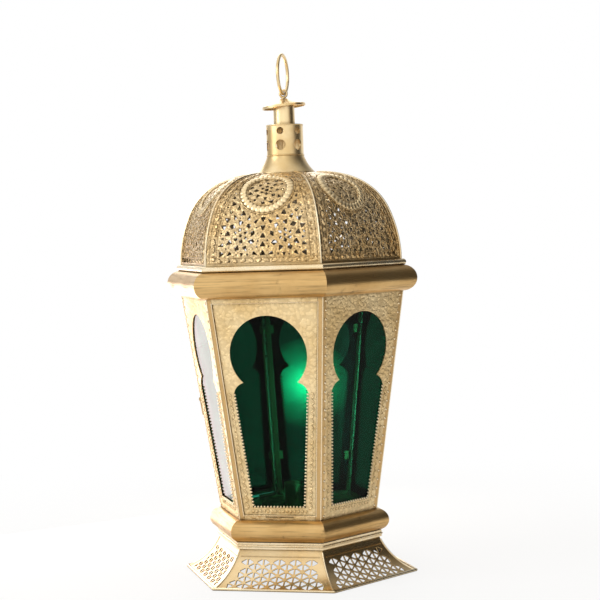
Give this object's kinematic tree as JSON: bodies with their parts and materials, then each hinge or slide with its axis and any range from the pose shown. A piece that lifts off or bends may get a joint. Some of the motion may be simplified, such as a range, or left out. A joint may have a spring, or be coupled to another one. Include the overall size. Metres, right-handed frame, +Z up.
{
  "type": "ramadan fanous lantern",
  "caption": "Six-sided brass hanging lantern with a flared pierced foot, green glazed horseshoe windows, a hinged door, a pierced dome, a vented chimney and a loose ring.",
  "frame": {"origin": "on the floor under the lantern's axis, at the middle of the foot", "axes": "+Z up along the chimney and the hanging ring, front face towards -Y, corners of the body along +X and -X"},
  "size_m": [0.2418, 0.2094, 0.4831],
  "materials": {
    "panel_brass": "hammered brass sheet, slightly tarnished",
    "pierced_brass": "embossed and pierced brass sheet",
    "moulding_brass": "polished brass moulding",
    "finial_brass": "satin brass",
    "fitting_brass": "plain brass, duller inside",
    "green_glass": "deep green clear glass"
  },
  "bodies": {
    "lantern": {"base_band": "moulding_brass", "button_stud": "fitting_brass", "candle_socket": "fitting_brass", "crown_nut": "fitting_brass", "crown_washer": "fitting_brass", "dome_band": "moulding_brass", "dome_panel_1": "pierced_brass", "dome_panel_2": "pierced_brass", "dome_panel_3": "pierced_brass", "dome_panel_4": "pierced_brass", "dome_panel_5": "pierced_brass", "dome_panel_6": "pierced_brass", "door_stops": "fitting_brass", "drip_pan": "fitting_brass", "eye_bolt": "finial_brass", "finial_cap": "finial_brass", "finial_stem": "finial_brass", "floor_plate": "fitting_brass", "frame_hinge_leaf_1": "fitting_brass", "frame_hinge_leaf_2": "fitting_brass", "frame_rivets": "fitting_brass", "glass_clips": "fitting_brass", "glass_pane_1": "green_glass", "glass_pane_2": "green_glass", "glass_pane_3": "green_glass", "glass_pane_4": "green_glass", "glass_pane_5": "green_glass", "hinge_pin_1": "fitting_brass", "hinge_pin_2": "fitting_brass", "inset_panel_1": "panel_brass", "inset_panel_2": "panel_brass", "lintel_strip_1": "panel_brass", "lintel_strip_2": "panel_brass", "lintel_strip_3": "panel_brass", "lower_bead": "moulding_brass", "neck": "finial_brass", "sill_strip_1": "panel_brass", "sill_strip_2": "panel_brass", "sill_strip_3": "panel_brass", "skirt_panel_1": "pierced_brass", "skirt_panel_2": "pierced_brass", "skirt_panel_3": "pierced_brass", "skirt_panel_4": "pierced_brass", "skirt_panel_5": "pierced_brass", "skirt_panel_6": "pierced_brass", "socket_rivet": "fitting_brass", "upper_bead": "moulding_brass", "vent_collar": "finial_brass", "wing_panel_1": "panel_brass", "wing_panel_2": "panel_brass", "wing_panel_3": "panel_brass"},
    "door": {"door_panel": "panel_brass", "door_glass": "green_glass", "door_glass_clips": "fitting_brass", "door_rivets": "fitting_brass", "door_hinge_leaf_1": "fitting_brass", "door_hinge_leaf_2": "fitting_brass"},
    "button": {"turn_button": "fitting_brass"},
    "ring": {"hanging_ring": "finial_brass"}
  },
  "joints": [
    {"name": "door_swing", "type": "hinge", "parent": "lantern", "child": "door", "pos_m": [-0.04979, 0.07577, 0.15873], "axis": [0.077, -0.1334, -0.9881], "range_deg": [0, 110]},
    {"name": "button_turn", "type": "hinge", "parent": "lantern", "child": "button", "pos_m": [-0.09042, 0.00199, 0.16106], "axis": [0.8582, -0.4955, 0.1338], "range_deg": [0, 90]},
    {"name": "ring_swing", "type": "hinge", "parent": "lantern", "child": "ring", "pos_m": [0, 0, 0.4456], "axis": [0, 1, 0], "range_deg": [-110, 110]}
  ]
}
